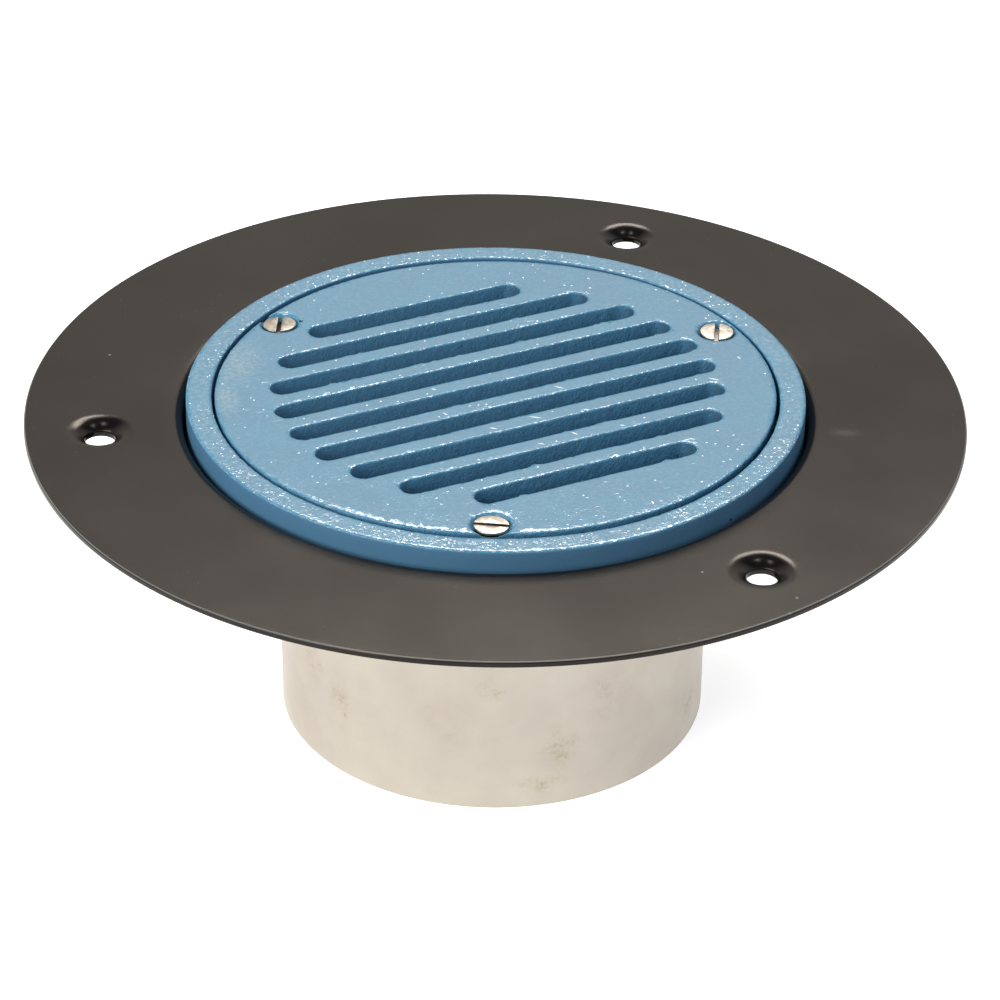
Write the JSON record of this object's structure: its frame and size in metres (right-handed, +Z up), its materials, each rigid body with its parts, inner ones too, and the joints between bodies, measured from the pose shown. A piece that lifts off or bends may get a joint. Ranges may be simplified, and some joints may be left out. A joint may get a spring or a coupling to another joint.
{
  "type": "floor drain",
  "caption": "Round floor drain: slotted cast grate screwed into a frame ring, set in a pressed flange pan with dimpled screw holes and a straight outlet pipe below.",
  "frame": {"origin": "centre of the outlet pipe's lower end", "axes": "+Z up along the pipe's axis, +X along the grate's slots"},
  "size_m": [0.246, 0.246, 0.0935],
  "materials": {
    "blue_cast_iron": "epoxy coated, rough as cast",
    "black_steel": "satin black coating",
    "pale_stainless": "dull, pickled",
    "screw_steel": "satin",
    "nut_steel": "plain"
  },
  "bodies": {
    "root": {"grate": "blue_cast_iron", "frame_ring": "blue_cast_iron", "flange_pan": "black_steel", "outlet_pipe": "pale_stainless", "grate_screws": "screw_steel", "clamp_screws": "screw_steel", "weld_nuts": "nut_steel"}
  },
  "joints": []
}
